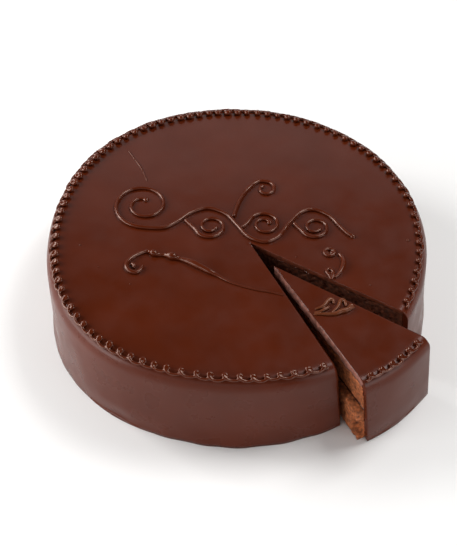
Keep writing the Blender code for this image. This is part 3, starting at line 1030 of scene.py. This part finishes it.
class TORTE_OT_flourishes(bpy.types.Operator):
    """Pipe the flourishes under the vine and the leaf on the slice"""

    bl_idname = "torte.flourishes"
    bl_label = "Flourishes"

    def execute(self, context):
        torte = context.scene.torte
        cake = torte.cake
        rng = Random(23)
        finish = piping_finish("flourish_piping", torte.finish.glaze, 0.12)
        left = [
            [(-58.3, -25.8, 1.0), (-59.6, -29.4, 1.2), (-62.8, -31.8, 1.3), (-66.8, -30.1, 1.4),
             (-68.8, -26.3, 1.5), (-67.5, -22.0, 1.4), (-63.6, -17.9, 1.3), (-58.0, -14.4, 1.2),
             (-54.6, -14.2, 1.2), (-51.8, -16.1, 2.2), (-48.6, -17.0, 1.3), (-44.9, -17.1, 1.3),
             (-40.3, -18.9, 2.6), (-36.4, -20.2, 1.4), (-32.4, -21.7, 1.8), (-25.2, -26.0, 2.2),
             (-18.0, -30.9, 1.9), (-12.6, -34.4, 1.2), (-4.5, -40.0, 0.8), (7.7, -45.1, 0.7),
             (19.9, -48.5, 0.6), (28.0, -50.9, 0.6)],
            [(-65.3, -24.5, 1.3), (-63.6, -26.0, 1.5), (-64.2, -28.0, 0.9)],
        ]
        serve(piped(torte, "left_flourish", left, [], 2, finish, rng), "piping",
              "flourish_stem", "flourish_hook")
        knob = [(58.3 + 3.3 * math.cos(math.radians(angle)), -16.0 + 2.9 * math.sin(math.radians(angle)),
                 1.25) for angle in range(200, -200, -40)]
        right = [
            knob,
            [(64.4, -17.2, 1.2), (66.3, -21.5, 1.5), (66.4, -26.0, 1.7), (64.4, -32.0, 1.5),
             (60.4, -37.0, 0.8)],
            [(57.9, -38.4, 0.7), (57.0, -35.2, 1.0), (55.6, -32.2, 1.1), (56.4, -30.2, 1.2),
             (58.6, -30.4, 1.2), (59.8, -33.0, 1.2), (59.2, -36.4, 1.0), (58.2, -38.6, 0.7)],
            [(57.4, -32.6, 0.8), (57.7, -36.4, 0.7)],
        ]
        lumps = [blob(cake, 56.7, -16.7, 1.7), blob(cake, 60.1, -16.1, 1.6)]
        serve(piped(torte, "right_flourish", right, lumps, 2, finish, rng), "piping",
              "knob", "bow", "drop")
        leaf = [
            [(46.0, -65.3, 0.6), (49.7, -64.5, 0.9), (52.8, -62.9, 1.1), (55.6, -60.8, 0.9)],
            [(46.9, -62.6, 0.7), (51.1, -61.0, 1.1), (53.0, -59.0, 1.3), (55.0, -56.2, 1.4),
             (56.7, -54.9, 1.3), (58.1, -56.2, 1.1), (58.3, -58.6, 0.7)],
            [(57.0, -65.2, 0.8), (58.8, -63.4, 1.0), (60.8, -61.1, 1.2), (62.0, -57.9, 1.3),
             (63.0, -55.6, 1.1), (64.6, -55.8, 1.1), (65.5, -58.0, 1.1), (65.6, -60.6, 0.9)],
            [(45.6, -66.6, 0.6), (50.5, -66.6, 0.9), (55.6, -66.8, 1.1), (59.3, -66.4, 1.3),
             (62.4, -64.9, 1.5), (65.5, -64.0, 1.6), (68.0, -62.5, 1.4), (70.6, -61.2, 1.0)],
            [(67.2, -61.8, 1.0), (68.8, -59.9, 1.1), (70.0, -59.9, 0.9)],
        ]
        thin = piping_finish("leaf_piping", torte.finish.leaf, 0.15, low=0.22, high=0.34, gloss=0.4)
        serve(piped(torte, "slice_leaf", leaf, [], 4, thin, rng), "piping",
              "leaf_upper", "leaf_middle", "leaf_lower")
        return {"FINISHED"}


TABLE_REACH = 6.0
TABLE_GAP = 0.2 * MM
ROOM_COLOUR = (0.03, 0.03, 0.03, 1.0)
CAMERA_AIM = Vector((-5.3 * MM, -31.5 * MM, 59.0 * MM))
LIGHT_DISTANCE = 1.1
# Each low panel's power as a multiple of the fill.
FRONT_FILL, LEFT_FILL, RIGHT_FILL = 0.62, 3.1, 1.2


def area_light(name, azimuth, elevation, width, height, power):
    """A soft light aimed at the torte from an azimuth and elevation in degrees."""
    light = bpy.data.lights.new(name, "AREA")
    light.shape = "RECTANGLE"
    light.size = width
    light.size_y = height
    light.energy = power
    obj = bpy.data.objects.new(name, light)
    turn, tilt = math.radians(azimuth), math.radians(elevation)
    way = Vector((math.cos(turn) * math.cos(tilt), math.sin(turn) * math.cos(tilt), math.sin(tilt)))
    obj.location = way * LIGHT_DISTANCE
    obj.rotation_euler = way.to_track_quat("Z", "Y").to_euler()
    bpy.context.scene.collection.objects.link(obj)
    return obj


class TORTE_OT_stage(bpy.types.Operator):
    """Set out the table, the lights and the camera"""

    bl_idname = "torte.stage"
    bl_label = "Table, Lights and Camera"

    def execute(self, context):
        scene = context.scene
        torte = scene.torte
        settings = torte.stage
        bm = bmesh.new()
        bmesh.ops.create_grid(bm, x_segments=1, y_segments=1, size=TABLE_REACH)
        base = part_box("glaze")[0].z
        bmesh.ops.translate(bm, verts=bm.verts, vec=(0, 0, base - TABLE_GAP))
        top, _ = principled("table_top", torte.finish.table, 0.6)
        finished_object("table", bm, [top], smooth_shading=False)

        camera = bpy.data.cameras.new("camera")
        camera.lens = settings.lens
        camera.sensor_width = 36.0
        camera.clip_start = 0.01
        viewer = bpy.data.objects.new("camera", camera)
        scene.collection.objects.link(viewer)
        turn = (Matrix.Rotation(settings.azimuth, 4, "Z")
                @ Matrix.Rotation(math.pi / 2 - settings.elevation, 4, "X")
                @ Matrix.Rotation(settings.roll, 4, "Z"))
        away = Matrix.Translation((0, 0, settings.distance))
        viewer.matrix_world = Matrix.Translation(CAMERA_AIM) @ turn @ away
        scene.camera = viewer

        area_light("window", 160, 35, 0.45, 0.45, settings.key)
        area_light("overhead", 20, 60, 0.5, 0.5, settings.overhead)
        area_light("far_panel", 95, 33, 1.5, 0.47, settings.sheen)
        area_light("front_panel", -112, 17, 1.5, 0.5, FRONT_FILL * settings.fill)
        area_light("left_panel", -168, 17, 1.1, 0.5, LEFT_FILL * settings.fill)
        area_light("right_panel", -38, 17, 0.8, 0.5, RIGHT_FILL * settings.fill)
        world = bpy.data.worlds.new("room")
        world.use_nodes = True
        world.node_tree.nodes["Background"].inputs["Color"].default_value = ROOM_COLOUR
        scene.world = world
        scene.view_settings.view_transform = "Standard"
        return {"FINISHED"}


class TORTE_PT_panel(bpy.types.Panel):
    """The torte's pieces and their sizes in the sidebar"""

    bl_idname = "TORTE_PT_panel"
    bl_label = "Glazed Torte"
    bl_space_type = "VIEW_3D"
    bl_region_type = "UI"
    bl_category = "Torte"

    def draw(self, context):
        torte = context.scene.torte
        for operator in OPERATORS:
            self.layout.operator(operator.bl_idname)
        for group in (torte.cake, torte.piping, torte.finish, torte.stage):
            box = self.layout.box()
            for name in group.__annotations__:
                box.prop(group, name)


GROUPS = (CakeSizes, PipingSizes, Finishes, StageSettings, TorteSettings)
OPERATORS = (TORTE_OT_filling, TORTE_OT_glaze, TORTE_OT_border, TORTE_OT_vine, TORTE_OT_flourishes,
             TORTE_OT_drops, TORTE_OT_stage)
CLASSES = (*GROUPS, *OPERATORS, TORTE_PT_panel)


def register():
    for cls in CLASSES:
        bpy.utils.register_class(cls)
    bpy.types.Scene.torte = bpy.props.PointerProperty(type=TorteSettings)


def unregister():
    del bpy.types.Scene.torte
    for cls in reversed(CLASSES):
        bpy.utils.unregister_class(cls)


def main():
    register()
    bpy.ops.torte.filling()
    bpy.ops.torte.glaze()
    bpy.ops.torte.border()
    bpy.ops.torte.vine()
    bpy.ops.torte.flourishes()
    bpy.ops.torte.drops()
    bpy.ops.torte.stage()


if __name__ == "__main__":
    main()
